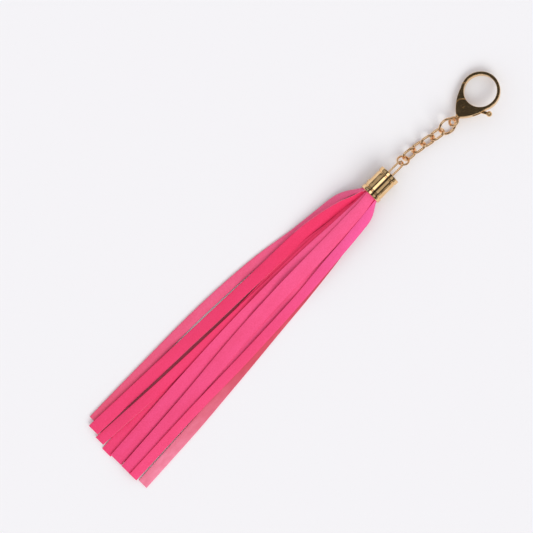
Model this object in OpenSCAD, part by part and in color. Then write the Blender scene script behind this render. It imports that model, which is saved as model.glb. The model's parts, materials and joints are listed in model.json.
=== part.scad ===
// Tassel keychain: a lobster clasp with a swivel, a short cable chain, a metal cap and a fringe of leather strips.
// It lies on its back on the plane Z = 0, with its long axis along Y and the clasp at +Y. Millimetres.

/* [Clasp] */
// Inside diameter of the clasp's ring
clasp_bore_d = 19.4; // [18:0.2:21]
// Width of the ring's wall, seen face on
clasp_wall = 1.9; // [1.8:0.1:2.4]
// Thickness of the clasp
clasp_t = 3.6; // [3.4:0.1:4.2]
// How far the clasp leans over on its side, in degrees
clasp_tilt = 16; // [0:1:25]
// Diameter of the trigger's ball
knob_d = 3.4; // [2.6:0.2:3.6]

/* [Chain] */
// Wire diameter of the links, the large ring and the swivel's eye
wire_d = 1.6; // [1.4:0.1:1.7]
// Inside length of a link
link_in_l = 6.75; // [6:0.05:7.5]
// Inside width of a link
link_in_w = 4.4; // [4:0.1:5]
// Outside diameter of the large ring at the clasp
large_ring_d = 12; // [11:0.2:13]
// Outside diameter of the small ring at the cap
small_ring_d = 8; // [7.8:0.2:9]

/* [Cap] */
// Diameter of the cap's body, between its rims
cap_d = 13; // [12.6:0.2:14]
// Length of the cap
cap_l = 17; // [15:0.5:20]
// How far the rims stand out from the body
rim_step = 0.35; // [0.2:0.05:0.5]
// Thickness of the cap's wall
cap_wall = 0.7; // [0.6:0.1:0.9]

/* [Fringe] */
// Length of the longest strip outside the cap
strip_l = 214; // [190:1:230]
// Thickness of the leather
leather_t = 0.9; // [0.8:0.05:0.95]
// Free height left between two layers of strips
layer_gap = 0.15; // [0.12:0.01:0.2]

/* [Hidden] */
$fn = 64;
eps = 0.01;

gold = [0.93, 0.76, 0.45];
leather_face = [0.95, 0.25, 0.48];
leather_back = [0.93, 0.45, 0.58];

// ---- clasp, in its own flat frame: u to the right, v towards the nose, origin at the ring's centre ----
clasp_y = 145.1;
ring_r = clasp_bore_d / 2;
ring_outer_r = ring_r + clasp_wall;
lens_r = 28;                    // the two arcs that make the teardrop's sides
lens_u = lens_r - ring_outer_r + 0.6;
lens_v = 1.5;
tail_v = -20;                   // the end of the clasp's tail
tail_r = 1.75;
tail_l = 3.6;
clasp_z = ring_outer_r * sin(clasp_tilt) + clasp_t / 2 * cos(clasp_tilt);
clasp_x = 1.4;
clasp_yaw = 3;

// gate: it turns about the pin, and its root is an arc about the pin, so the root slides past the body
pin_at = [-1.5, -13.5];
pin_r = 0.7;
root_r = 4.4;
play = 0.15;
gate_side = 60;                 // directions from the pin, in degrees, that bound the gate's opening
nose_cut = [-10.8, -3.4];       // a point on the slanted cut between the nose and the gate
nose_cut_angle = 53;
slot_t = 1.9;                   // the slot between the body's two cheeks
tongue_t = 1.6;
arm_angle = 25;                 // the trigger's arm, from the pin
arm_l = 15.9;
arm_w = 1.7;
gate_travel = 20;
boss_r = 1.7;                   // the gate's boss about the pin
tongue_angle = 133;             // the tongue joins the boss to the gate
tongue_w = 2.6;
arm_room_l = 13;                // how far out the slot is open between the arm's two ends of travel
pocket_at = [-1.6, -16.7];      // the spring's pocket
pocket_size = [5.4, 3.4];

// swivel: the eye's shank turns in the tail and is held by a head inside
shank_r = 0.8;
head_r = 1.3;
head_t = 0.8;
head_up = 2.35;                 // from the end of the tail to the head
collar_r = 1.5;
collar_t = 0.45;
neck_l = 1;                     // of the shank, between the eye and the tail
eye_r = 2.5;                    // the eye's own radius, at the middle of its wire
eye_v = tail_v - neck_l - eye_r;
eye_roll = -30;

// ---- chain: each piece hangs from the one before, from the clasp down to the cap ----
link_gap = 0.15;
small_wire_d = 1.3;
large_r = (large_ring_d - wire_d) / 2;
small_r = (small_ring_d - small_wire_d) / 2;
link_reach = link_in_l + wire_d;
hook_in = wire_d + link_gap;    // how far one piece's end sits inside the other's

// yaw, pitch and roll of each piece, in degrees
large_turn = [-5, 3, 45];
link_turns = [[-9, 6, -45], [-11, 3, 45], [-10, 1, -45], [-6, -4, 45]];
small_yaw = 9;
small_pitch = -36;
small_roll = -20;
loop_roll = 45;

function heading(yaw, pitch) = [sin(yaw) * cos(pitch), -cos(yaw) * cos(pitch), -sin(pitch)];

// From one piece's far end to the next one's near end, where the two hook into each other
function hooked(dir, next_dir, d) = -d * (dir + next_dir) / norm(dir + next_dir);

clasp_at = [clasp_x, clasp_y, clasp_z];
clasp_dir = heading(clasp_yaw, 0);
eye_at = clasp_at - eye_v * clasp_dir;
large_start = eye_at - 0.8 * clasp_dir;
large_dir = heading(large_turn[0], large_turn[1]);
large_end = large_start + 2 * large_r * large_dir;

link_dirs = [for (t = link_turns) heading(t[0], t[1])];
link_start_1 = large_end - hook_in * large_dir;
link_start_2 = link_start_1 + (link_reach - hook_in) * link_dirs[0];
link_start_3 = link_start_2 + (link_reach - hook_in) * link_dirs[1];
link_start_4 = link_start_3 + (link_reach - hook_in) * link_dirs[2];
link_starts = [link_start_1, link_start_2, link_start_3, link_start_4];

cap_r = cap_d / 2;
rim_r = cap_r + rim_step;
cap_z = rim_r;
small_dir = heading(small_yaw, small_pitch);
small_start = link_start_4 + link_reach * link_dirs[3]
    + hooked(link_dirs[3], small_dir, (wire_d + small_wire_d) / 2 + link_gap);
small_end = small_start + 2 * small_r * small_dir;
loop_hook = small_end + hooked(small_dir, [0, -1, 0], small_wire_d + 2 * link_gap);
loop_start = [loop_hook[0], loop_hook[1], cap_z];

// ---- cap ----
loop_r = 2.1;                   // half the distance between the loop's two legs
loop_free_l = 9.8;              // from the loop's end to the cap's flat top
foot_d = small_wire_d + 0.8;    // the spread ends of the loop's legs
foot_t = 0.5;
washer_r = 4.2;
cap_x = loop_start[0];
cap_top_y = loop_start[1] - loop_free_l;
mouth_y = cap_top_y - cap_l;
bore_r = cap_r - cap_wall;
cap_top_t = 1.2;
lower_rim_l = 2.6;
upper_rim_l = 3;
groove_l = 0.5;
washer_t = 0.8;
screw_y = mouth_y + 5.5;
screw_r = 1;

// ---- fringe ----
roll_l = 11;                    // the leather that is rolled up inside the cap
roll_turns = 4;
// Layers lie on each other, layer 0 on the ground. At the mouth they stand further apart.
layer_pitch = leather_t + layer_gap;
mouth_pitch = 2;
mouth_t = mouth_pitch - layer_gap - 0.05;
drop_l = 70;                    // where the layers have come down to the ground
spread_l = 75;                  // where a strip has opened out to its full width
mouth_gap = 0.3;
ring_count = 24;

// Distance from the mouth of each place where a strip's route is given
STATIONS = [0, 15, 45, 75, 115, 160, 214];
// Layer, full width, width at the mouth, length short of the longest, then X from the cap's axis at each station
STRIPS = [
    [1, 5.8, 2.6, 7,   [-3.9, -12.0, -15.0, -20.0, -22.2, -22.0, -20.4]],
    [2, 7.2, 4.0, 4,   [-3.9, -7.4, -11.6, -12.4, -13.8, -15.2, -16.8]],
    [0, 6.4, 1.2, 4,   [-2.9, -7.8, -9.8, -13.4, -13.8, -15.0, -13.2]],
    [1, 6.0, 2.8, 2,   [-0.8, -6.0, -8.6, -8.6, -8.0, -7.2, -9.4]],
    [0, 6.6, 1.2, 0,   [-1.45, -3.6, -4.4, -5.8, -4.8, -5.4, -2.8]],
    [2, 8.2, 6.8, 1,   [2.1, -1.4, -2.2, -1.0, -0.6, 1.8, 5.0]],
    [0, 6.6, 1.2, 3,   [0, 0.8, 1.2, 1.6, 3.4, 3.0, 5.2]],
    [3, 8.1, 6.4, 1,   [1.9, 2.6, 4.0, 4.0, 6.0, 10.0, 13.6]],
    [1, 7.4, 2.8, 3,   [3.2, 3.6, 4.4, 7.2, 9.2, 10.4, 14.0]],
    [0, 6.8, 1.2, 4,   [1.45, 5.2, 6.6, 9.2, 11.4, 12.2, 16.0]],
    [4, 5.8, 4.0, 1,   [1.5, 8.2, 11.2, 13.8, 15.8, 16.8, 19.0]],
    [0, 5.8, 1.2, 2,   [2.9, 9.6, 12.0, 15.8, 19.4, 23.0, 26.0]]
];

// ================= helpers =================

// Moves its children into the clasp's frame
module clasp_frame() {
    translate(clasp_at) rotate([0, 0, clasp_yaw]) rotate([0, -clasp_tilt, 0]) children();
}

// Moves its children so that their +Y end sits at a point, turned by yaw, pitch and roll
module hang(at, turn) {
    translate(at) rotate([0, 0, turn[0]]) rotate([turn[1], 0, 0]) rotate([0, turn[2], 0]) children();
}

// A closed ring of round wire in the XY plane, with its +Y wire at the origin
module wire_ring(r, d) {
    translate([0, -r, 0]) rotate_extrude() translate([r, 0]) circle(d = d, $fn = 24);
}

// An oval link of round wire in the XY plane, with its +Y end at the origin
module oval_link() {
    side = (link_in_w + wire_d) / 2;
    straight = link_reach - 2 * side;
    translate([0, -side, 0]) {
        rotate_extrude(angle = 180) translate([side, 0]) circle(d = wire_d, $fn = 24);
        for (s = [-1, 1])
            translate([s * side, 0, 0]) rotate([90, 0, 0]) cylinder(d = wire_d, h = straight, $fn = 24);
        translate([0, -straight, 0]) rotate([0, 0, 180])
            rotate_extrude(angle = 180) translate([side, 0]) circle(d = wire_d, $fn = 24);
    }
}

// ================= clasp =================

module clasp_outline() {
    circle(r = ring_outer_r, $fn = 96);
    intersection() {
        translate([lens_u, lens_v]) circle(r = lens_r, $fn = 128);
        translate([-lens_u, lens_v]) circle(r = lens_r, $fn = 128);
        translate([-lens_r, tail_v + 0.6]) square([2 * lens_r, lens_v - tail_v]);
    }
}

// Everything to the left of the nose cut and outside the root's arc: the room that the gate fills
module gate_room(clear) {
    far = 30;
    difference() {
        translate(nose_cut) rotate(nose_cut_angle) translate([-far, -far - clear]) square([far * 2, far]);
        translate(pin_at) circle(r = root_r - clear);
        translate(pin_at) rotate(-90) translate([0, -far]) square([far * 2, far * 2]);
        translate(pin_at) rotate(gate_side) translate([0, -far]) square([far, far]);
        translate([-0.5, -far]) square([far, 2 * far]);
        translate([-far, 0]) square([2 * far, far]);
    }
}

module slot_outline() {
    span = 12;
    difference() {
        union() {
            // room for the arm over its whole travel
            translate(pin_at) {
                circle(r = boss_r + 0.9);
                for (a = [arm_angle, arm_angle - gate_travel])
                    rotate(a) translate([0, -arm_w / 2 - play]) square([arm_l, arm_w + 2 * play]);
                polygon([[0, 0], arm_room_l * [cos(arm_angle), sin(arm_angle)],
                         arm_room_l * [cos(arm_angle - gate_travel), sin(arm_angle - gate_travel)]]);
            }
            translate(pocket_at) square(pocket_size);
        }
        circle(r = ring_r + 0.8);
    }
    // room for the tongue between the pin and the gate, open into the ring
    translate(pin_at) intersection() {
        rotate(80) square([span, span]);
        circle(r = root_r + 1.2);
    }
}

module clasp_body() {
    color(gold) clasp_frame() difference() {
        union() {
            translate([0, 0, -clasp_t / 2]) linear_extrude(clasp_t) difference() {
                clasp_outline();
                gate_room(0);
            }
            translate([0, tail_v, 0]) rotate([-90, 0, 0]) cylinder(r = tail_r, h = tail_l, $fn = 48);
        }
        cylinder(r = ring_r, h = clasp_t + 2, center = true, $fn = 96);
        translate([0, 0, -slot_t / 2]) linear_extrude(slot_t) slot_outline();
        translate([pin_at[0], pin_at[1], 0]) cylinder(r = pin_r, h = clasp_t + 2, center = true, $fn = 32);
        // the tail is round, and holds the swivel's shank and head
        translate([0, tail_v - eps, 0]) rotate([-90, 0, 0]) {
            cylinder(r = shank_r + 0.06, h = head_up + head_t, $fn = 32);
            translate([0, 0, head_up - 0.15]) cylinder(r = head_r + 0.1, h = head_t + 0.3, $fn = 32);
        }
    }
}

module gate_outline() {
    difference() {
        intersection() {
            clasp_outline();
            gate_room(play);
        }
        translate(pin_at) circle(r = root_r + play);
        circle(r = ring_r, $fn = 96);
    }
}

module gate_lever() {
    color(gold) clasp_frame() difference() {
        union() {
            translate([0, 0, -clasp_t / 2]) linear_extrude(clasp_t) gate_outline();
            // tongue in the slot, from the gate to the pin, and the arm to the knob
            translate([0, 0, -tongue_t / 2]) linear_extrude(tongue_t) {
                translate(pin_at) {
                    circle(r = boss_r);
                    rotate(tongue_angle) translate([0, -tongue_w / 2]) square([root_r + 1.5, tongue_w]);
                    rotate(arm_angle) translate([0, -arm_w / 2]) square([arm_l, arm_w]);
                }
            }
            translate([pin_at[0], pin_at[1], 0]) rotate([0, 0, arm_angle])
                translate([arm_l, 0, 0]) sphere(d = knob_d, $fn = 48);
        }
        translate([pin_at[0], pin_at[1], 0]) cylinder(r = pin_r + 0.05, h = clasp_t + 2, center = true, $fn = 32);
        cylinder(r = ring_r, h = clasp_t + 2, center = true, $fn = 96);
    }
}

module gate_pin() {
    color(gold) clasp_frame() translate([pin_at[0], pin_at[1], 0]) {
        cylinder(r = pin_r, h = clasp_t, center = true, $fn = 32);
        for (s = [-1, 1])
            translate([0, 0, s * (clasp_t / 2 + 0.1)]) cylinder(r = pin_r + 0.3, h = 0.2, center = true, $fn = 32);
    }
}

// A bent leaf between the floor of the pocket and the underside of the arm
module gate_spring() {
    leaf_t = 0.25;
    leaf_w = 1.2;
    floor_v = pocket_at[1] + 0.2;
    bend_u = 3.4;
    color("silver") clasp_frame() translate([0, 0, -leaf_w / 2]) linear_extrude(leaf_w) {
        translate([bend_u - 4.6, floor_v]) square([4.6, leaf_t]);
        translate([bend_u, floor_v]) rotate(84) square([2.4, leaf_t]);
    }
}

module swivel_eye() {
    color(gold) translate(eye_at) rotate([0, 0, clasp_yaw]) rotate([0, eye_roll, 0]) {
        translate([0, eye_r, 0]) wire_ring(eye_r, wire_d);
        // shank through the tail, its collar outside and its head inside
        translate([0, eye_r, 0]) rotate([-90, 0, 0]) {
            cylinder(r = shank_r, h = neck_l + head_up + 0.1, $fn = 32);
            translate([0, 0, neck_l - collar_t - 0.1]) cylinder(r = collar_r, h = collar_t, $fn = 32);
            translate([0, 0, neck_l + head_up]) cylinder(r = head_r, h = head_t, $fn = 32);
        }
    }
}

// ================= chain =================

module large_ring() {
    color(gold) hang(large_start, large_turn) wire_ring(large_r, wire_d);
}

module chain_link(i) {
    color(gold) hang(link_starts[i], link_turns[i]) oval_link();
}

module small_ring() {
    color(gold) hang(small_start, [small_yaw, small_pitch, small_roll]) wire_ring(small_r, small_wire_d);
}

// ================= cap =================

// Moves its children to the centre of the cap's mouth, with their +Z along the cap's axis, towards the clasp
module cap_frame() {
    translate([cap_x, mouth_y, cap_z]) rotate([-90, 0, 0]) children();
}

module leg_holes(d) {
    for (s = [-1, 1])
        translate([s * loop_r * cos(loop_roll), s * loop_r * sin(loop_roll), cap_l - 5])
            cylinder(d = d, h = 10, $fn = 24);
}

module cap_shell() {
    color(gold) difference() {
        cap_frame() difference() {
            union() {
                cylinder(r = cap_r - 0.25, h = cap_l - eps);
                cylinder(r = rim_r, h = lower_rim_l);
                translate([0, 0, lower_rim_l + groove_l])
                    cylinder(r = cap_r, h = cap_l - lower_rim_l - upper_rim_l - 2 * groove_l);
                translate([0, 0, cap_l - upper_rim_l]) cylinder(r = rim_r, h = upper_rim_l);
            }
            translate([0, 0, -1]) cylinder(r = bore_r, h = cap_l - cap_top_t + 1);
            leg_holes(small_wire_d);
        }
        translate([cap_x, screw_y, cap_z]) rotate([0, -90, 0]) cylinder(r = screw_r, h = 20, $fn = 24);
    }
}

// A wire loop whose two legs go through the cap's top and are spread over a washer inside
module cap_loop() {
    leg_l = loop_free_l - loop_r + cap_top_t + washer_t;
    color(gold) hang(loop_start, [0, 0, loop_roll]) translate([0, -loop_r, 0]) {
        rotate_extrude(angle = 180) translate([loop_r, 0]) circle(d = small_wire_d, $fn = 24);
        for (s = [-1, 1]) translate([s * loop_r, 0, 0]) rotate([90, 0, 0]) {
            cylinder(d = small_wire_d, h = leg_l, $fn = 24);
            translate([0, 0, leg_l]) cylinder(d = foot_d, h = foot_t, $fn = 24);
        }
    }
}

module loop_washer() {
    color("silver") cap_frame() difference() {
        translate([0, 0, cap_l - cap_top_t - washer_t]) cylinder(r = washer_r, h = washer_t);
        leg_holes(small_wire_d);
    }
}

// A small grub screw through the cap's side that holds the leather
module cap_screw() {
    color(gold) translate([cap_x - roll_outer_r - 0.02, screw_y, cap_z]) rotate([0, -90, 0]) difference() {
        cylinder(r = screw_r, h = cap_r - roll_outer_r + 0.2, $fn = 24);
        translate([0, 0, cap_r - roll_outer_r - 0.2]) cube([2.4, 0.4, 1], center = true);
    }
}

// ================= fringe =================

roll_outer_r = bore_r - 0.15;
roll_pitch = leather_t + 0.2;

function roll_point(r, a) = [(r - roll_pitch * a / 360) * cos(a), (r - roll_pitch * a / 360) * sin(a)];

// The uncut edge of the leather, rolled up and glued in the cap
module leather_roll() {
    step = 15;
    last = roll_turns * 360;
    color(leather_back) cap_frame() linear_extrude(roll_l) polygon(concat(
        [for (a = [0 : step : last]) roll_point(roll_outer_r, a)],
        [for (a = [last : -step : 0]) roll_point(roll_outer_r - leather_t, a)]
    ));
}

function ease(t) = t <= 0 ? 0 : t >= 1 ? 1 : t * t * (3 - 2 * t);
function mix(a, b, t) = a + (b - a) * t;

// Slope of a route at station i, as the mean over its neighbours
function slope(v, i) =
    i == 0 ? (v[1] - v[0]) / (STATIONS[1] - STATIONS[0])
    : i == len(v) - 1 ? (v[i] - v[i - 1]) / (STATIONS[i] - STATIONS[i - 1])
    : (v[i + 1] - v[i - 1]) / (STATIONS[i + 1] - STATIONS[i - 1]);

function span_of(s, i = 0) = i >= len(STATIONS) - 2 || s < STATIONS[i + 1] ? i : span_of(s, i + 1);

// A smooth curve through the values v at the stations, at distance s from the mouth
function along(v, s) =
    let (i = span_of(s), h = STATIONS[i + 1] - STATIONS[i], t = (s - STATIONS[i]) / h)
    (2 * t ^ 3 - 3 * t ^ 2 + 1) * v[i] + (t ^ 3 - 2 * t ^ 2 + t) * h * slope(v, i)
    + (3 * t ^ 2 - 2 * t ^ 3) * v[i + 1] + (t ^ 3 - t ^ 2) * h * slope(v, i + 1);

function layer_z(layer, s) = mix(
    cap_z + (layer - 2) * mouth_pitch,
    leather_t / 2 + layer * layer_pitch,
    ease(s / drop_l)
);

// The four corners of a strip's section at distance s from the mouth
function strip_section(strip, s) =
    let (
        x = cap_x + along(strip[4], s),
        z = layer_z(strip[0], s),
        w = mix(strip[2], strip[1], ease(s / spread_l)) / 2,
        t = mix(mouth_t, leather_t, ease(s / drop_l)) / 2,
        y = mouth_y - mouth_gap - s
    )
    [[x - w, y, z - t], [x + w, y, z - t], [x + w, y, z + t], [x - w, y, z + t]];

module strip(i) {
    row = STRIPS[i];
    length = strip_l - row[3] - mouth_gap;
    sections = [for (k = [0 : ring_count]) strip_section(row, length * (k / ring_count) ^ 1.3)];
    sides = [for (k = [0 : ring_count - 1], c = [0 : 3])
        [4 * k + c, 4 * k + (c + 1) % 4, 4 * k + 4 + (c + 1) % 4, 4 * k + 4 + c]];
    last = 4 * ring_count;
    color(row[0] == 0 ? leather_back : leather_face) polyhedron(
        points = [for (section = sections) each section],
        faces = concat([[3, 2, 1, 0]], sides, [[last, last + 1, last + 2, last + 3]])
    );
}

clasp_body();
gate_lever();
gate_pin();
gate_spring();
swivel_eye();
large_ring();
chain_link(0);  // chain_link_1
chain_link(1);  // chain_link_2
chain_link(2);  // chain_link_3
chain_link(3);  // chain_link_4
small_ring();
cap_loop();
cap_shell();
loop_washer();
cap_screw();
leather_roll();
strip(0);  // strip_01
strip(1);  // strip_02
strip(2);  // strip_03
strip(3);  // strip_04
strip(4);  // strip_05
strip(5);  // strip_06
strip(6);  // strip_07
strip(7);  // strip_08
strip(8);  // strip_09
strip(9);  // strip_10
strip(10);  // strip_11
strip(11);  // strip_12
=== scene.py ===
"""Looks of the tassel keychain: a lobster clasp, a short chain, a gold cap and a fringe of pink leather.

It lies on its back on the plane Z = 0, with the clasp towards +Y. Places are in metres, in the CAD model's
frame. What is in millimetres says so.
"""

import json
import math

import bmesh
import bpy
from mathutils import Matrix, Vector, noise


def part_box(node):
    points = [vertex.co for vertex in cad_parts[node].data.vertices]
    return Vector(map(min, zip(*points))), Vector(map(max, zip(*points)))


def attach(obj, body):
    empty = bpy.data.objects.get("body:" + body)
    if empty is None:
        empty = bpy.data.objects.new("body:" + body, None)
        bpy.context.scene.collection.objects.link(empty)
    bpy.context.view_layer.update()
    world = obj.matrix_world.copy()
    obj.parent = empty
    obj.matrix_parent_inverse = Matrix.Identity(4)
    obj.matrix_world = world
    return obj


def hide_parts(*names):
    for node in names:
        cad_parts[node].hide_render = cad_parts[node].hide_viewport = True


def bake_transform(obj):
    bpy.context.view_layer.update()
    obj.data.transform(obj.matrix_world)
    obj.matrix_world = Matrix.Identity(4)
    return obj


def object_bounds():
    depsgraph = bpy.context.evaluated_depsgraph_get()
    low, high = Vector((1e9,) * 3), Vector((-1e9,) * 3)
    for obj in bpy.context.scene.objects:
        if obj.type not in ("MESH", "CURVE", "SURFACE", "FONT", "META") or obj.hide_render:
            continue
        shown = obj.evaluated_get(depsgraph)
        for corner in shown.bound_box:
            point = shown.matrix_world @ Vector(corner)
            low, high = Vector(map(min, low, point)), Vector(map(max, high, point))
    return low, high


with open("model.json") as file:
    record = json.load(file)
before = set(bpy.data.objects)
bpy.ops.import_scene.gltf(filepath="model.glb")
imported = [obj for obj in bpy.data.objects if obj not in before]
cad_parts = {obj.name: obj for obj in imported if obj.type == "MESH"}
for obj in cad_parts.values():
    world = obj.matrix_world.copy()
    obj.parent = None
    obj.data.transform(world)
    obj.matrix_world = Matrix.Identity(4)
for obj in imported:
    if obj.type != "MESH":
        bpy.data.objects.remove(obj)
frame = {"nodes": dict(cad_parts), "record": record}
cad_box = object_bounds()

MM = 0.001
joints = {j["name"]: j for j in frame["record"]["behaviour"]["joints"]}
body_of_node = {
    node: body
    for body, nodes in frame["record"]["behaviour"]["bodies"].items()
    for node in nodes
}


def ease(t):
    t = min(max(t, 0.0), 1.0)
    return t * t * (3 - 2 * t)


def mix(a, b, t):
    return a + (b - a) * t


def joint_at(name):
    return Vector(joints[name]["pos_m"])


def joint_axis(name):
    return Vector(joints[name]["axis"]).normalized()


def box_centre(node):
    low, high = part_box(node)
    return (low + high) / 2


# The cap's axis runs along Y. Its mouth is at its lower end.
cap_low, cap_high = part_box("cap_shell")
cap_centre = (cap_low + cap_high) / 2
cap_x = cap_centre.x
cap_z = cap_centre.z
cap_r = (cap_high.z - cap_low.z) / 2
cap_l = cap_high.y - cap_low.y
mouth_y = cap_low.y

# ================= camera =================

VIEW_WIDTH = 0.3103
VIEW_HEIGHT = 1.5
VIEW_CENTRE = (-0.0146, -0.0146)
VIEW_ROLL = math.radians(45)


def make_camera():
    """Looks straight down, with the object's long axis along the picture's diagonal."""
    data = bpy.data.cameras.new("camera")
    data.sensor_width = 36
    data.lens = 36 * VIEW_HEIGHT / VIEW_WIDTH
    data.clip_end = 20
    camera = bpy.data.objects.new("camera", data)
    camera.location = (*VIEW_CENTRE, VIEW_HEIGHT)
    camera.rotation_euler = (0, 0, VIEW_ROLL)
    bpy.context.collection.objects.link(camera)
    bpy.context.scene.camera = camera


make_camera()

# ================= materials =================


def new_material(name):
    """An empty node material and the shader that it ends in."""
    material = bpy.data.materials.new(name)
    material.use_nodes = True
    nodes = material.node_tree.nodes
    nodes.clear()
    output = nodes.new("ShaderNodeOutputMaterial")
    shader = nodes.new("ShaderNodeBsdfPrincipled")
    material.node_tree.links.new(shader.outputs["BSDF"], output.inputs["Surface"])
    return material, shader


def object_coords(material, stretch=(1, 1, 1)):
    """The surface's own coordinates in millimetres, stretched along an axis for streaks."""
    nodes = material.node_tree.nodes
    links = material.node_tree.links
    coords = nodes.new("ShaderNodeTexCoord")
    mapping = nodes.new("ShaderNodeMapping")
    mapping.inputs["Scale"].default_value = [s / MM for s in stretch]
    links.new(coords.outputs["Object"], mapping.inputs["Vector"])
    return mapping.outputs["Vector"]


def noise_texture(material, vector, size, detail=3.0, roughness=0.5):
    """Noise whose blobs are about size millimetres across."""
    texture = material.node_tree.nodes.new("ShaderNodeTexNoise")
    texture.inputs["Scale"].default_value = 1 / size
    texture.inputs["Detail"].default_value = detail
    texture.inputs["Roughness"].default_value = roughness
    material.node_tree.links.new(vector, texture.inputs["Vector"])
    return texture.outputs["Fac"]


def cells_texture(material, vector, size):
    """Distance to the nearest of many points about size millimetres apart, as the pores of leather."""
    texture = material.node_tree.nodes.new("ShaderNodeTexVoronoi")
    texture.inputs["Scale"].default_value = 1 / size
    material.node_tree.links.new(vector, texture.inputs["Vector"])
    return texture.outputs["Distance"]


def remap(material, value, low, high, to_low, to_high):
    node = material.node_tree.nodes.new("ShaderNodeMapRange")
    node.inputs["From Min"].default_value = low
    node.inputs["From Max"].default_value = high
    node.inputs["To Min"].default_value = to_low
    node.inputs["To Max"].default_value = to_high
    material.node_tree.links.new(value, node.inputs["Value"])
    return node.outputs["Result"]


def two_colours(material, value, a, b):
    """Colour a where value is 0 and b where it is 1."""
    node = material.node_tree.nodes.new("ShaderNodeMix")
    node.data_type = "RGBA"
    node.inputs["A"].default_value = (*a, 1)
    node.inputs["B"].default_value = (*b, 1)
    material.node_tree.links.new(value, node.inputs["Factor"])
    return node.outputs["Result"]


def multiply(material, a, b):
    node = material.node_tree.nodes.new("ShaderNodeMix")
    node.data_type = "RGBA"
    node.blend_type = "MULTIPLY"
    node.inputs["Factor"].default_value = 1
    material.node_tree.links.new(a, node.inputs["A"])
    material.node_tree.links.new(b, node.inputs["B"])
    return node.outputs["Result"]


def add_bump(material, shader, heights):
    """Bumps laid over each other. Each is (height output, depth in millimetres)."""
    nodes = material.node_tree.nodes
    links = material.node_tree.links
    normal = None
    for height, depth in heights:
        bump = nodes.new("ShaderNodeBump")
        bump.inputs["Distance"].default_value = depth * MM
        links.new(height, bump.inputs["Height"])
        if normal is not None:
            links.new(normal, bump.inputs["Normal"])
        normal = bump.outputs["Normal"]
    links.new(normal, shader.inputs["Normal"])


def make_gold(name, colour, dark, polish):
    """Light gold plating: polished, with faint handling marks and a little unevenness in the plating."""
    material, shader = new_material(name)
    links = material.node_tree.links
    shader.inputs["Metallic"].default_value = 1
    even = object_coords(material)
    streaks = object_coords(material, (1.0, 0.15, 1.0))
    clouds = remap(material, noise_texture(material, even, 3.0), 0.35, 0.7, 0, 1)
    links.new(two_colours(material, clouds, colour, dark), shader.inputs["Base Color"])
    marks = noise_texture(material, streaks, 0.35, 4)
    links.new(remap(material, marks, 0.3, 0.75, polish, polish + 0.08), shader.inputs["Roughness"])
    add_bump(material, shader, [(marks, 0.002), (noise_texture(material, even, 2.2), 0.005)])
    return material


def along_fringe(material, start, end):
    """0 up to start and 1 from end, both as parts of the way from the cap's mouth to the fringe's far end."""
    nodes, links = material.node_tree.nodes, material.node_tree.links
    coords = nodes.new("ShaderNodeTexCoord")
    split = nodes.new("ShaderNodeSeparateXYZ")
    links.new(coords.outputs["Object"], split.inputs["Vector"])
    far = cad_box[0][1]
    return remap(material, split.outputs["Y"], mix(mouth_y, far, start), mix(mouth_y, far, end), 0, 1)


def make_leather(name, near, far, end=1.0):
    """The dyed, smooth side of the leather: fine pores, a soft sheen and small shifts in the dye."""
    material, shader = new_material(name)
    links = material.node_tree.links
    even = object_coords(material)
    along = object_coords(material, (1.0, 0.25, 1.0))
    colouring = remap(material, noise_texture(material, along, 5.0, 4), 0.3, 0.7, 0, 1)
    pores = cells_texture(material, even, 0.42)
    speckle = remap(material, noise_texture(material, even, 0.25, 2), 0.25, 0.75, 0, 1)
    tone = two_colours(material, along_fringe(material, 0, end), near, far)
    clouds = two_colours(material, colouring, (1, 1, 1), (0.97, 0.88, 0.88))
    pebbles = remap(material, noise_texture(material, even, 0.8, 3), 0.3, 0.7, 0, 1)
    grain = two_colours(material, pebbles, (0.93, 0.77, 0.82), (1, 1, 1))
    links.new(multiply(material, multiply(material, tone, clouds), grain), shader.inputs["Base Color"])
    links.new(remap(material, speckle, 0, 1, 0.5, 0.66), shader.inputs["Roughness"])
    shader.inputs["Specular IOR Level"].default_value = 0.35
    shader.inputs["Sheen Weight"].default_value = 0.12
    shader.inputs["Sheen Roughness"].default_value = 0.4
    shader.inputs["Sheen Tint"].default_value = (1, 0.75, 0.85, 1)
    add_bump(material, shader, [
        (noise_texture(material, along, 4.0, 2), 0.10),
        (pores, 0.035),
        (speckle, 0.012),
    ])
    return material


def make_suede(name, near, far, fibre=0.3, sheen=0.2, start=0.0, end=1.0, shine=0.15):
    """The raw side and the cut edges: matt, with short fibres."""
    material, shader = new_material(name)
    links = material.node_tree.links
    even = object_coords(material)
    nap = object_coords(material, (1.0, 0.4, 1.0))
    patches = remap(material, noise_texture(material, nap, 2.5, 4), 0.3, 0.7, 0, 1)
    fibres = noise_texture(material, nap, fibre, 5, 0.7)
    tone = two_colours(material, along_fringe(material, start, end), near, far)
    clouds = two_colours(material, patches, (1, 1, 1), (0.92, 0.78, 0.8))
    fleck = two_colours(material, fibres, (0.78, 0.74, 0.76), (1, 1, 1))
    links.new(multiply(material, multiply(material, tone, clouds), fleck), shader.inputs["Base Color"])
    shader.inputs["Roughness"].default_value = 0.95
    shader.inputs["Specular IOR Level"].default_value = shine
    shader.inputs["Sheen Weight"].default_value = sheen
    shader.inputs["Sheen Roughness"].default_value = 0.6
    shader.inputs["Sheen Tint"].default_value = (1, 0.8, 0.86, 1)
    add_bump(material, shader, [(fibres, 0.08), (noise_texture(material, even, 1.5), 0.05)])
    return material


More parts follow.
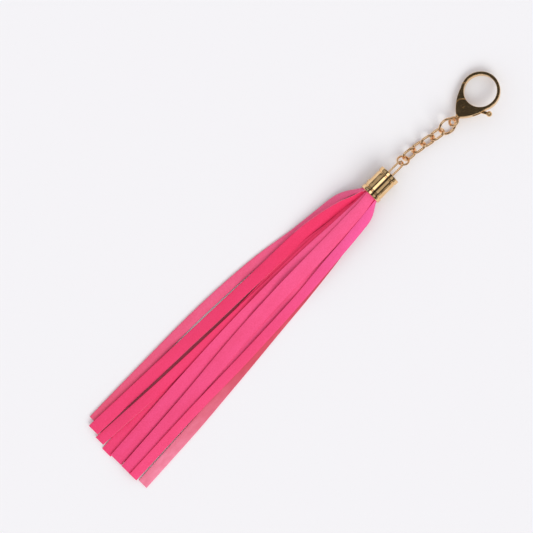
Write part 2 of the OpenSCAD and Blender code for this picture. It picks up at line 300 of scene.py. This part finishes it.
gold = make_gold("gold", (0.93, 0.64, 0.34), (0.86, 0.56, 0.27), 0.05)
rose_gold = make_gold("gold_wire", (1.0, 0.70, 0.43), (0.92, 0.56, 0.30), 0.05)
steel = make_gold("steel", (0.62, 0.61, 0.58), (0.5, 0.49, 0.47), 0.25)
# Rosy, violet, deep and pale copies of one pink leather, each changing tone from the cap to the far end. The
# differences between the copies are partly painted light, standing in for how each strip faces the lamp,
# together with real differences in the dye.
rosy_leather = make_leather("leather_rosy", (0.95, 0.118, 0.30), (0.91, 0.075, 0.235))
violet_leather = make_leather("leather_violet", (0.93, 0.115, 0.37), (0.90, 0.074, 0.22), end=0.5)
deep_leather = make_leather("leather_deep", (0.93, 0.038, 0.15), (0.89, 0.058, 0.19))
pale_leather = make_leather("leather_pale", (0.92, 0.13, 0.30), (0.84, 0.115, 0.22))
# Darker and redder towards the cap, paler from about nine tenths of the way out. On strip_12, which lies raw
# side up, this is painted shade where the strip runs under strip_11 and in its shadow.
suede = make_suede("leather_back", (0.74, 0.10, 0.15), (1.0, 0.29, 0.42), start=0.55, end=0.9)
# A darker, browner copy of the suede for strip_03's raw side: painted shade for a strip lying low in the
# shadow of its neighbours
shaded_suede = make_suede("leather_back_shaded", (0.55, 0.10, 0.15), (0.50, 0.11, 0.16))
# The cut edges in two copies: dark crimson on the left edges, painted shade where they face away from the
# lamp, and pale on the right edges, a painted highlight where they face it
painted_shade_edge = make_suede("leather_edge", (0.80, 0.012, 0.08), (0.80, 0.012, 0.08), 0.2, 0, shine=0)
painted_light_edge = make_suede("leather_edge_pale", (0.95, 0.30, 0.42), (1.0, 0.36, 0.48), 0.2)
leathers = {
    "rosy": rosy_leather,
    "violet": violet_leather,
    "deep": deep_leather,
    "pale": pale_leather,
    "shade": deep_leather,
}

# ================= helpers =================


def along(stations, values, s):
    """A smooth curve through the values at the stations, at distance s."""
    if s <= stations[0]:
        return values[0]
    if s >= stations[-1]:
        last = (values[-1] - values[-2]) / (stations[-1] - stations[-2])
        return values[-1] + last * (s - stations[-1])

    def slope(i):
        a = max(i - 1, 0)
        b = min(i + 1, len(values) - 1)
        return (values[b] - values[a]) / (stations[b] - stations[a])

    i = max(k for k in range(len(stations) - 1) if stations[k] <= s)
    h = stations[i + 1] - stations[i]
    t = (s - stations[i]) / h
    return (
        (2 * t**3 - 3 * t**2 + 1) * values[i]
        + (t**3 - 2 * t**2 + t) * h * slope(i)
        + (3 * t**2 - 2 * t**3) * values[i + 1]
        + (t**3 - t**2) * h * slope(i + 1)
    )


def make_object(name, verts, faces, materials, slots=None, sharp_deg=None):
    """A smooth mesh object. slots gives each face's material, and edges sharper than sharp_deg stay sharp."""
    mesh = bpy.data.meshes.new(name)
    mesh.from_pydata([tuple(v) for v in verts], [], faces)
    for material in materials:
        mesh.materials.append(material)
    if slots is not None:
        mesh.polygons.foreach_set("material_index", slots)
    mesh.validate()
    build = bmesh.new()
    build.from_mesh(mesh)
    bmesh.ops.recalc_face_normals(build, faces=build.faces)
    build.to_mesh(mesh)
    build.free()
    mesh.shade_smooth()
    if sharp_deg is not None:
        mesh.set_sharp_from_angle(angle=math.radians(sharp_deg))
    obj = bpy.data.objects.new(name, mesh)
    bpy.context.collection.objects.link(obj)
    return obj


# ================= metal parts =================


# Points closer than this are one, faces turned less than this are one flat face, and edges sharper than
# this are rounded
WELD_GAP = 0.01 * MM
FLAT_DEG = 1
SHARP_DEG = 35


def soften_cad(node, material, width):
    """A CAD node with its edges rounded over, as a polished casting's are.

    Its flat faces' triangles are merged first and keep one even normal, so that they mirror without streaks.
    """
    obj = frame["nodes"][node]
    obj.data.materials.clear()
    obj.data.materials.append(material)
    weld = obj.modifiers.new("weld", "WELD")
    weld.merge_threshold = WELD_GAP
    flats = obj.modifiers.new("flats", "DECIMATE")
    flats.decimate_type = "DISSOLVE"
    flats.angle_limit = math.radians(FLAT_DEG)
    bevel = obj.modifiers.new("bevel", "BEVEL")
    bevel.limit_method = "ANGLE"
    bevel.angle_limit = math.radians(SHARP_DEG)
    bevel.width = width
    bevel.segments = 3
    bevel.use_clamp_overlap = False
    obj.data.shade_smooth()
    flat = obj.modifiers.new("flat_faces", "WEIGHTED_NORMAL")
    flat.mode = "FACE_AREA"
    flat.weight = 100


def ring_tube(node, centre, along_axis, normal, straight, bend_r, wire_r):
    """A closed wire ring, or an oval link when straight is not 0."""
    side_axis = normal.cross(along_axis).normalized()
    steps = 40
    line = []
    for k in range(2 * steps):
        angle = math.pi * k / steps
        out = straight / 2 if math.sin(angle) >= 0 else -straight / 2
        flat = Vector((math.cos(angle) * bend_r, math.sin(angle) * bend_r + out))
        line.append((flat, Vector((math.cos(angle), math.sin(angle)))))
    sides = 20
    verts, faces = [], []
    for flat, outwards in line:
        middle = centre + side_axis * flat.x + along_axis * flat.y
        out_dir = side_axis * outwards.x + along_axis * outwards.y
        for c in range(sides):
            angle = 2 * math.pi * c / sides
            verts.append(middle + wire_r * (out_dir * math.cos(angle) + normal * math.sin(angle)))
    count = len(line)
    for k in range(count):
        for c in range(sides):
            d = (c + 1) % sides
            n = (k + 1) % count
            faces.append((k * sides + c, n * sides + c, n * sides + d, k * sides + d))
    obj = make_object("visual_" + node, verts, faces, [rose_gold])
    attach(obj, body_of_node[node])
    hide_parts(node)


LINK_WIRE_R = 0.8 * MM
SMALL_WIRE_R = 0.65 * MM
LINK_BEND_R = 3.0 * MM


def make_chain():
    """The large ring, four oval links and the small ring, each between its own two joints."""
    pieces = [
        ("large_ring", "large_ring_swing", "link_1_swing", LINK_WIRE_R),
        ("chain_link_1", "link_1_swing", "link_2_swing", LINK_WIRE_R),
        ("chain_link_2", "link_2_swing", "link_3_swing", LINK_WIRE_R),
        ("chain_link_3", "link_3_swing", "link_4_swing", LINK_WIRE_R),
        ("chain_link_4", "link_4_swing", "small_ring_swing", LINK_WIRE_R),
        ("small_ring", "small_ring_swing", "cap_swing", SMALL_WIRE_R),
    ]
    for node, swing, next_swing, wire_r in pieces:
        centre = box_centre(node)
        reach = joint_at(next_swing) - centre
        normal = joint_axis(swing)
        if node == "large_ring":
            # it swings about an axis in its own plane, the others about their plane's normal
            normal = normal.cross(reach).normalized()
        half = reach.length
        bend_r = half
        if node.startswith("chain_link"):
            bend_r = LINK_BEND_R
        straight = 2 * (half - bend_r)
        ring_tube(node, centre, reach.normalized(), normal, straight, bend_r, wire_r)


def lathe(name, profile):
    """A solid turned about the cap's axis. The profile is a loop of (height above the mouth, radius)."""
    steps = 128
    verts, faces = [], []
    for k in range(steps):
        angle = 2 * math.pi * k / steps
        for height, radius in profile:
            verts.append((
                cap_x + radius * math.cos(angle),
                mouth_y + height,
                cap_z + radius * math.sin(angle),
            ))
    count = len(profile)
    for k in range(steps):
        for c in range(count):
            d = (c + 1) % count
            n = (k + 1) % steps
            faces.append((k * count + c, n * count + c, n * count + d, k * count + d))
    return make_object(name, verts, faces, [gold], sharp_deg=40)


def make_cap():
    """The cap: a waisted barrel between two rolled rims, each set off by a groove."""
    r = cap_r
    wall = 1.0 * MM
    hole_r = 0.3 * MM
    # (height in millimetres above the mouth of a cap 17 mm long, radius)
    outline_l = 17.0
    outline = [
        (0.45, r - wall), (0.1, r - wall + 0.15 * MM), (0.0, r - 0.45 * MM), (0.12, r - 0.18 * MM),
        (0.45, r), (1.5, r), (2.2, r - 0.02 * MM), (2.5, r - 0.15 * MM), (2.62, r - 0.42 * MM),
        (2.85, r - 0.62 * MM), (3.15, r - 0.6 * MM), (3.35, r - 0.42 * MM), (3.8, r - 0.36 * MM),
        (6.0, r - 0.46 * MM), (8.5, r - 0.52 * MM), (11.0, r - 0.5 * MM), (13.1, r - 0.44 * MM),
        (13.5, r - 0.5 * MM), (13.7, r - 0.7 * MM), (14.0, r - 0.72 * MM), (14.15, r - 0.5 * MM),
        (14.35, r - 0.3 * MM), (14.8, r - 0.22 * MM), (15.8, r - 0.16 * MM), (16.5, r - 0.12 * MM),
        (16.85, r - 0.25 * MM), (17.0, r - 0.6 * MM), (16.95, r - 1.2 * MM), (16.6, r - 1.7 * MM),
        (16.5, hole_r), (15.8, hole_r), (15.8, r - wall),
    ]
    scale = cap_l / outline_l
    obj = lathe("visual_cap", [(h * scale, radius) for h, radius in outline])
    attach(obj, "cap")
    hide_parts("cap_shell")


# ================= fringe =================

# The fringe's own numbers are all in millimetres.
# Distance from the cap's mouth of each place where the fringe's shape is given
STATIONS = [0, 8, 15, 30, 45, 75, 115, 160, 214]
LEATHER_T = 0.9
STRIP_L = 214
INSIDE_L = 5.0
# From the lowest strip to the highest: node, body, material, width, how much shorter than STRIP_L it is,
# smooth side up, X of its left edge from the cap's axis at each station, then the left edge's height and
# the slope across the strip in degrees at the first five stations, where the strips still stand in a bundle
STRIPS = [
    ("strip_03", "bottom_strips", "shade", 6.4, 6, False,
     [-4.6, -7.4, -8.8, -10.2, -11.6, -12.6, -12.8, -14.0, -16.0],
     [5.6, 4.0, 2.8, 1.8, 1.2], [4, 4, 6, 6, 2]),
    ("strip_07", "bottom_strips", "deep", 6.6, 4, True,
     [-2.8, -3.4, -3.2, -2.6, -2.4, -1.7, -0.7, 0.7, 2.7],
     [3.4, 3.0, 2.4, 1.6, 1.0], [0, 0, 0, 0, 0]),
    ("strip_10", "bottom_strips", "rosy", 6.8, 5, True,
     [0.2, 1.0, 1.8, 2.6, 3.4, 6.0, 8.2, 9.6, 12.8],
     [5.8, 5.0, 4.2, 3.0, 2.2], [10, -8, -6, 0, 2]),
    ("strip_12", "right_strip", "rosy", 6.2, 2, False,
     [0.4, 3.6, 4.6, 6.6, 8.8, 12.1, 15.7, 19.6, 22.8],
     [3.4, 2.6, 2.2, 1.6, 1.0], [16, 6, 8, 8, 4]),
    ("strip_05", "bottom_strips", "deep", 6.6, 0, True,
     [-3.6, -4.1, -4.8, -6.0, -8.0, -8.9, -8.0, -9.2, -5.5],
     [8.3, 7.2, 6.2, 4.7, 3.2], [0, 2, 3, 3, 3]),
    ("strip_04", "bottom_strips", "deep", 6.0, 2, True,
     [-3.2, -3.5, -3.9, -5.1, -6.3, -7.3, -8.4, -9.9, -12.9],
     [9.4, 8.6, 7.6, 5.9, 4.4], [0, 0, 2, 2, 2]),
    ("strip_06", "top_strips", "rosy", 8.3, 1, True,
     [-2.8, -2.8, -3.1, -3.8, -4.7, -5.4, -4.8, -2.6, 0.7],
     [10.5, 9.9, 9.0, 7.1, 5.6], [-8, -6, -6, -3, -2]),
    ("strip_01", "left_strip", "pale", 5.9, 8, True,
     [-5.3, -11.0, -13.8, -15.7, -17.4, -21.9, -24.4, -24.4, -23.6],
     [6.4, 3.6, 1.9, 1.0, 0.8], [66, 46, 44, 32, 16]),
    ("strip_02", "upper_left_strip", "deep", 7.1, 4, True,
     [-4.3, -6.8, -9.6, -13.2, -15.2, -16.0, -17.3, -18.7, -20.5],
     [9.9, 9.3, 8.0, 5.2, 3.7], [-40, -38, -28, -13, -9]),
    ("strip_09", "top_strips", "rosy", 7.4, 3, True,
     [-0.4, 1.8, 2.4, 3.0, 3.2, 3.7, 5.6, 7.5, 11.3],
     [8.0, 7.9, 7.2, 5.8, 4.7], [-12, -18, -14, -8, -4]),
    ("strip_08", "top_strips", "rosy", 8.2, 1, True,
     [-2.3, -1.3, -1.2, -0.9, -0.7, -0.2, 1.9, 5.9, 9.5],
     [11.5, 11.2, 10.3, 8.3, 6.7], [-16, -13, -11, -8, -6]),
    ("strip_11", "top_strips", "violet", 5.8, 1, True,
     [4.1, 5.2, 6.0, 7.4, 8.5, 11.1, 12.8, 13.9, 16.1],
     [10.3, 10.3, 9.6, 7.9, 6.3], [-77, -26, -18, -12, -9]),
]
# How far the left edges curl up off what they lie on, and how far those of some strips do instead
CURL = 0.25
CURL_MORE = {"strip_02": 0.8, "strip_08": 0.4, "strip_11": 0.35}
# How far from the mouth the left edge of strip_02 takes the pale edge copy, a painted highlight on its raised
# ridge
RIDGE_L = 45
# Spacing of the places where the strips' heights are worked out, and of the rings that a strip is drawn with
STEP = 2.0
RING_STEP = 1.5
# Quads across a strip, and how rounded its cut edges are
ACROSS = 10
CORNER = 0.22
# Where the strips start to leave the bundle for their places on the ground, and how long that takes them
BUNDLE_L = 35
SETTLE_L = 60
# Air that rest_heights allows between strips, the least air above the ground, and the steepest that a
# strip lies across the ones under it
LAYER_GAP = 0.06
GROUND_GAP = 0.02
MAX_SLOPE = 0.3
# Which of a strip's materials each kind of face has
SMOOTH_SIDE, RAW_SIDE, LEFT_EDGE, RIGHT_EDGE = range(4)


def width_at(width, s):
    """A strip is gathered at the mouth and opens out to its full width."""
    return width * mix(0.76, 1, ease(s / 14))


def upper_line(points, x):
    """Height at x, and slope, of a straight board that rests on the points (x, height)."""
    hull = []
    for p in points:
        while len(hull) >= 2:
            (x1, z1), (x2, z2) = hull[-2], hull[-1]
            if (x2 - x1) * (p[1] - z1) - (z2 - z1) * (p[0] - x1) < 0:
                break
            hull.pop()
        hull.append(p)
    for (x1, z1), (x2, z2) in zip(hull, hull[1:]):
        if x1 <= x <= x2:
            slope = (z2 - z1) / (x2 - x1)
            return z1 + slope * (x - x1), slope
    return hull[-1][1], 0.0


def smooth_up(values, reach):
    """Softens a list without dropping below its local highs."""
    count = len(values)
    high = [max(values[max(i - reach, 0):i + reach + 1]) for i in range(count)]
    out = []
    for i in range(count):
        total, weight = 0.0, 0.0
        for k in range(-reach, reach + 1):
            j = min(max(i + k, 0), count - 1)
            w = 1 + math.cos(math.pi * k / (reach + 1))
            total += high[j] * w
            weight += w
        out.append(total / weight)
    return out


def rest_heights():
    """Where the strips would lie if they were flat boards: the heights of each one's two edges, by step.

    The ground is a grid, with a row for each step along the fringe and columns of the cell's width across it.
    """
    cell = 0.25
    half_span = 34.0
    columns = int(2 * half_span / cell)
    rows = int(STRIP_L / STEP) + 1
    ground = [[0.0] * columns for _ in range(rows)]
    result = {}
    for node, _, _, width, short, _, lefts_x, _, _ in STRIPS:
        route = [x + width / 2 for x in lefts_x]
        last = int((STRIP_L - short) / STEP)
        lefts, rights = [], []
        for row in range(last + 1):
            x = along(STATIONS, route, row * STEP)
            first = int((x - width / 2 + half_span) / cell)
            final = int((x + width / 2 + half_span) / cell) + 1
            points = [(c * cell - half_span, ground[row][c]) for c in range(first, final + 1)]
            height, slope = upper_line(points, x)
            slope = min(max(slope, -MAX_SLOPE), MAX_SLOPE)
            lefts.append(height - slope * width / 2)
            rights.append(height + slope * width / 2)
        lefts = smooth_up(lefts, reach=4)
        rights = smooth_up(rights, reach=4)
        for row in range(last + 1):
            x = along(STATIONS, route, row * STEP)
            first = int((x - width / 2 + half_span) / cell)
            final = int((x + width / 2 + half_span) / cell) + 1
            for c in range(first, final + 1):
                t = min(max((c * cell - half_span - x) / width + 0.5, 0), 1)
                top = mix(lefts[row], rights[row], t) + LEATHER_T + LAYER_GAP
                ground[row][c] = max(ground[row][c], top)
        result[node] = (lefts, rights)
    return result


def strip_section(strip, heights, s):
    """Points of the strip's middle surface across its width at distance s, from the cap's axis.

    rest_heights takes no account of the bundle, the curl and the hump, and neighbouring strips do cut into
    each other in places.
    """
    node, body, _, width, _, _, lefts_x, lefts_z, slopes = strip
    lefts, rights = heights[node]
    near = max(s, 0)
    left_x = along(STATIONS, lefts_x, near)
    bundle_z = along(STATIONS[:5], lefts_z, near)
    tilt = math.radians(along(STATIONS[:5], slopes, near))
    # just short of the last step at most, so that there is a next one
    row = min(near / STEP, len(lefts) - 1.001)
    i = int(row)
    left = mix(lefts[i], lefts[i + 1], row - i) + LEATHER_T / 2 + GROUND_GAP
    right = mix(rights[i], rights[i + 1], row - i) + LEATHER_T / 2 + GROUND_GAP
    settled = ease((s - BUNDLE_L) / SETTLE_L)
    left += CURL_MORE.get(node, CURL) * (1 if body != "bottom_strips" else 0.4)
    full = width_at(width, near) * (1 + 0.025 * noise.noise(Vector((s / 23, hash_of(node), 0))))
    slope = (right - left) / width
    shorten = 1 / math.sqrt(1 + slope * slope)
    arch = mix(0.09, 0.03, ease((near - 8) / 50)) * full
    out = []
    for k in range(ACROSS + 1):
        t = k / ACROSS
        u = t * full
        hump = arch * 4 * t * (1 - t)
        px = left_x + mix(u * math.cos(tilt) - hump * math.sin(tilt), u * shorten, settled)
        bundled = bundle_z + u * math.sin(tilt) + hump * math.cos(tilt)
        pz = mix(bundled, left + u * slope * shorten + hump, settled)
        out.append((px, max(pz, LEATHER_T / 2 + GROUND_GAP)))
    return out


def hash_of(node):
    """A fixed number for each strip, so that each has its own unevenness."""
    return int(node[-2:]) * 7.3


def s_of_ring(i, count, length):
    """Ring i's distance from the mouth. The first rings are inside the cap, where it is below 0."""
    return -INSIDE_L + (length + INSIDE_L) * i / count


def strip_outline(section, half_t):
    """Around a strip's section: along the top, over the right edge, back along the bottom, over the left."""
    inset = CORNER * 0.45
    bulge = CORNER * 0.5
    tops, bottoms = [], []
    for k, (px, pz) in enumerate(section):
        before = section[max(k - 1, 0)]
        after = section[min(k + 1, ACROSS)]
        dx, dz = after[0] - before[0], after[1] - before[1]
        size = math.hypot(dx, dz) or 1
        nx, nz = -dz / size, dx / size
        # the strip is a little thinner at its cut edges
        depth = half_t - inset if k in (0, ACROSS) else half_t
        tops.append((px + nx * depth, pz + nz * depth))
        bottoms.append((px - nx * depth, pz - nz * depth))
    # the cut edges bulge a little between the two faces
    left_dir = Vector((section[0][0] - section[1][0], section[0][1] - section[1][1])).normalized()
    right_dir = Vector((section[-1][0] - section[-2][0], section[-1][1] - section[-2][1])).normalized()
    left_mid = (section[0][0] + left_dir.x * bulge, section[0][1] + left_dir.y * bulge)
    right_mid = (section[-1][0] + right_dir.x * bulge, section[-1][1] + right_dir.y * bulge)
    return tops + [right_mid] + bottoms[::-1] + [left_mid]


def strip_faces(count, size, face_up, left_slots):
    """The faces between a strip's rings, which have size points each, and over its two ends."""
    faces, slots = [], []
    top_slot, bottom_slot = (SMOOTH_SIDE, RAW_SIDE) if face_up else (RAW_SIDE, SMOOTH_SIDE)
    for i in range(count):
        for c in range(size):
            d = (c + 1) % size
            faces.append((i * size + c, i * size + d, (i + 1) * size + d, (i + 1) * size + c))
            if c < ACROSS:
                slots.append(top_slot)
            elif c < ACROSS + 2:
                slots.append(RIGHT_EDGE)
            elif c < 2 * ACROSS + 2:
                slots.append(bottom_slot)
            else:
                slots.append(left_slots[i])
    for ring in (0, count):
        for k in range(ACROSS):
            a = ring * size + k
            b = ring * size + 2 * ACROSS + 2 - k
            faces.append((a, a + 1, b - 1, b))
            slots.append(RIGHT_EDGE)
        faces.append((ring * size + ACROSS, ring * size + ACROSS + 1, ring * size + ACROSS + 2))
        slots.append(LEFT_EDGE)
        faces.append((ring * size + 2 * ACROSS + 2, ring * size + 2 * ACROSS + 3, ring * size))
        slots.append(LEFT_EDGE)
    return faces, slots


def make_strip(strip, heights):
    """One strip of leather, from inside the cap to its free end."""
    # colouring picks which leather copy the strip gets; the differences between the copies are partly painted
    # light
    node, body, colouring, width, short, face_up, _, _, _ = strip
    length = STRIP_L - short
    count = int((length + INSIDE_L) / RING_STEP)
    verts, centreline, left_slots = [], [], []
    for i in range(count + 1):
        s = s_of_ring(i, count, length)
        y = mouth_y - s * MM
        section = strip_section(strip, heights, s)
        half_t = LEATHER_T / 2 * (1 + 0.06 * noise.noise(Vector((s / 9, hash_of(node), 3))))
        outline = strip_outline(section, half_t)
        verts += [Vector((cap_x + px * MM, y, max(pz, GROUND_GAP) * MM)) for px, pz in outline]
        middle = section[ACROSS // 2]
        centreline.append((cap_x + middle[0] * MM, y, middle[1] * MM))
        # Near the mouth strip_02's raised left edge gets the painted highlight of the right edges instead of
        # the painted shade
        pale = node == "strip_02" and s < RIDGE_L
        left_slots.append(RIGHT_EDGE if pale else LEFT_EDGE)
    faces, slots = strip_faces(count, len(outline), face_up, left_slots)
    # strip_03, keyed shade, gets the painted-shade copy of the suede on its raw side
    back = shaded_suede if colouring == "shade" else suede
    obj = make_object(
        "visual_" + node, verts, faces, [leathers[colouring], back, painted_shade_edge, painted_light_edge], slots, sharp_deg=50
    )
    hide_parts(node)
    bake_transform(obj)


def make_roll():
    """The rolled-up header of the leather inside the cap, set back from the mouth."""
    t = LEATHER_T * MM
    outer = cap_r - 1.25 * MM
    turns = 3
    steps = 40 * turns
    near, far = mouth_y + 1.5 * MM, mouth_y + 11 * MM
    verts, faces = [], []
    for k in range(steps + 1):
        angle = 2 * math.pi * turns * k / steps
        radius = outer - (t + 0.2 * MM) * turns * k / steps
        for r, y in ((radius, near), (radius, far), (radius - t, far), (radius - t, near)):
            verts.append((cap_x + r * math.cos(angle), y, cap_z + r * math.sin(angle)))
    for k in range(steps):
        for c in range(4):
            d = (c + 1) % 4
            faces.append((4 * k + c, 4 * k + d, 4 * k + 4 + d, 4 * k + 4 + c))
    faces.append((3, 2, 1, 0))
    last = 4 * steps
    faces.append((last, last + 1, last + 2, last + 3))
    obj = make_object("visual_leather_roll", verts, faces, [suede], sharp_deg=40)
    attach(obj, "cap")
    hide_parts("leather_roll")


heights = rest_heights()
for strip in STRIPS:
    make_strip(strip, heights)
make_roll()
make_chain()
make_cap()
for node, material, width in [
    ("clasp_body", gold, 0.26), ("gate_lever", gold, 0.16), ("gate_pin", gold, 0.08),
    ("cap_screw", gold, 0.1), ("swivel_eye", rose_gold, 0.1), ("cap_loop", rose_gold, 0.05),
]:
    soften_cad(node, material, width * MM)
for node, width in [("gate_spring", 0.04), ("loop_washer", 0.1)]:
    soften_cad(node, steel, width * MM)

# ================= floor and light =================


def make_floor():
    size = 1.6
    mesh = bpy.data.meshes.new("floor")
    corners = [(-size, -size, 0), (size, -size, 0), (size, size, 0), (-size, size, 0)]
    mesh.from_pydata(corners, [], [(0, 1, 2, 3)])
    floor = bpy.data.objects.new("floor", mesh)
    bpy.context.collection.objects.link(floor)
    material, shader = new_material("floor")
    shader.inputs["Base Color"].default_value = (0.88, 0.88, 0.885, 1)
    shader.inputs["Roughness"].default_value = 0.9
    shader.inputs["Specular IOR Level"].default_value = 0.1
    mesh.materials.append(material)


def make_key_light():
    """A large soft lamp off to the right, as a broad sun so that the floor is lit evenly."""
    data = bpy.data.lights.new("key", "SUN")
    data.energy = 1.35
    data.angle = math.radians(38)
    data.color = (0.975, 1.0, 0.965)
    light = bpy.data.objects.new("key", data)
    light.rotation_euler = Vector((1.55, -0.45, 1.5)).to_track_quat("Z", "Y").to_euler()
    light.visible_glossy = False
    bpy.context.collection.objects.link(light)


# Brightness of what the metal mirrors, by angle from straight up: soft boxes with dark gaps between them
ACROSS_BANDS = [
    (-90, 0.36), (-62, 0.42), (-43, 0.46), (-39, 0.05), (-28, 0.04), (-25, 1.2), (-15, 1.9), (-5, 1.6),
    (1, 0.6), (6, 0.04), (22, 0.05), (27, 0.5), (50, 0.62), (55, 0.06), (68, 0.07), (74, 0.55), (90, 0.6),
]
ALONG_BANDS = [
    (-90, 0.7), (-58, 0.7), (-50, 0.12), (-34, 0.16), (-26, 1.0), (14, 1.0), (22, 0.2), (36, 0.16),
    (44, 0.9), (90, 0.8),
]


def band_ramp(world, split, axis, bands):
    """Grey by the ray's angle from straight up, in the plane of Z and the given axis."""
    nodes, links = world.node_tree.nodes, world.node_tree.links
    angle = nodes.new("ShaderNodeMath")
    angle.operation = "ARCTAN2"
    links.new(split.outputs[axis], angle.inputs[0])
    links.new(split.outputs["Z"], angle.inputs[1])
    spread = nodes.new("ShaderNodeMapRange")
    spread.inputs["From Min"].default_value = -math.pi
    spread.inputs["From Max"].default_value = math.pi
    links.new(angle.outputs["Value"], spread.inputs["Value"])
    ramp = nodes.new("ShaderNodeValToRGB")
    elements = ramp.color_ramp.elements
    elements.remove(elements[1])
    elements[0].position = 0
    elements[0].color = (bands[0][1],) * 3 + (1,)
    for degrees, value in bands:
        element = elements.new(degrees / 360 + 0.5)
        element.color = (value, value, value, 1)
    links.new(spread.outputs["Result"], ramp.inputs["Fac"])
    return ramp.outputs["Color"]


def make_world():
    """A plain white room for the floor and the leather, and soft boxes with dark gaps for the metal."""
    world = bpy.data.worlds.new("world")
    bpy.context.scene.world = world
    world.use_nodes = True
    nodes, links = world.node_tree.nodes, world.node_tree.links
    nodes.clear()
    output = nodes.new("ShaderNodeOutputWorld")
    plain = nodes.new("ShaderNodeBackground")
    plain.inputs["Color"].default_value = (0.995, 0.968, 1.015, 1)
    plain.inputs["Strength"].default_value = 0.76
    boxes = nodes.new("ShaderNodeBackground")
    coords = nodes.new("ShaderNodeTexCoord")
    split = nodes.new("ShaderNodeSeparateXYZ")
    links.new(coords.outputs["Generated"], split.inputs["Vector"])
    both = nodes.new("ShaderNodeMix")
    both.data_type = "RGBA"
    both.blend_type = "MULTIPLY"
    both.inputs["Factor"].default_value = 1
    links.new(band_ramp(world, split, "X", ACROSS_BANDS), both.inputs["A"])
    links.new(band_ramp(world, split, "Y", ALONG_BANDS), both.inputs["B"])
    links.new(both.outputs["Result"], boxes.inputs["Color"])
    rays = nodes.new("ShaderNodeLightPath")
    choose = nodes.new("ShaderNodeMixShader")
    links.new(rays.outputs["Is Glossy Ray"], choose.inputs["Fac"])
    links.new(plain.outputs["Background"], choose.inputs[1])
    links.new(boxes.outputs["Background"], choose.inputs[2])
    links.new(choose.outputs["Shader"], output.inputs["Surface"])


make_floor()
make_world()
make_key_light()
bpy.context.scene.view_settings.view_transform = "Standard"
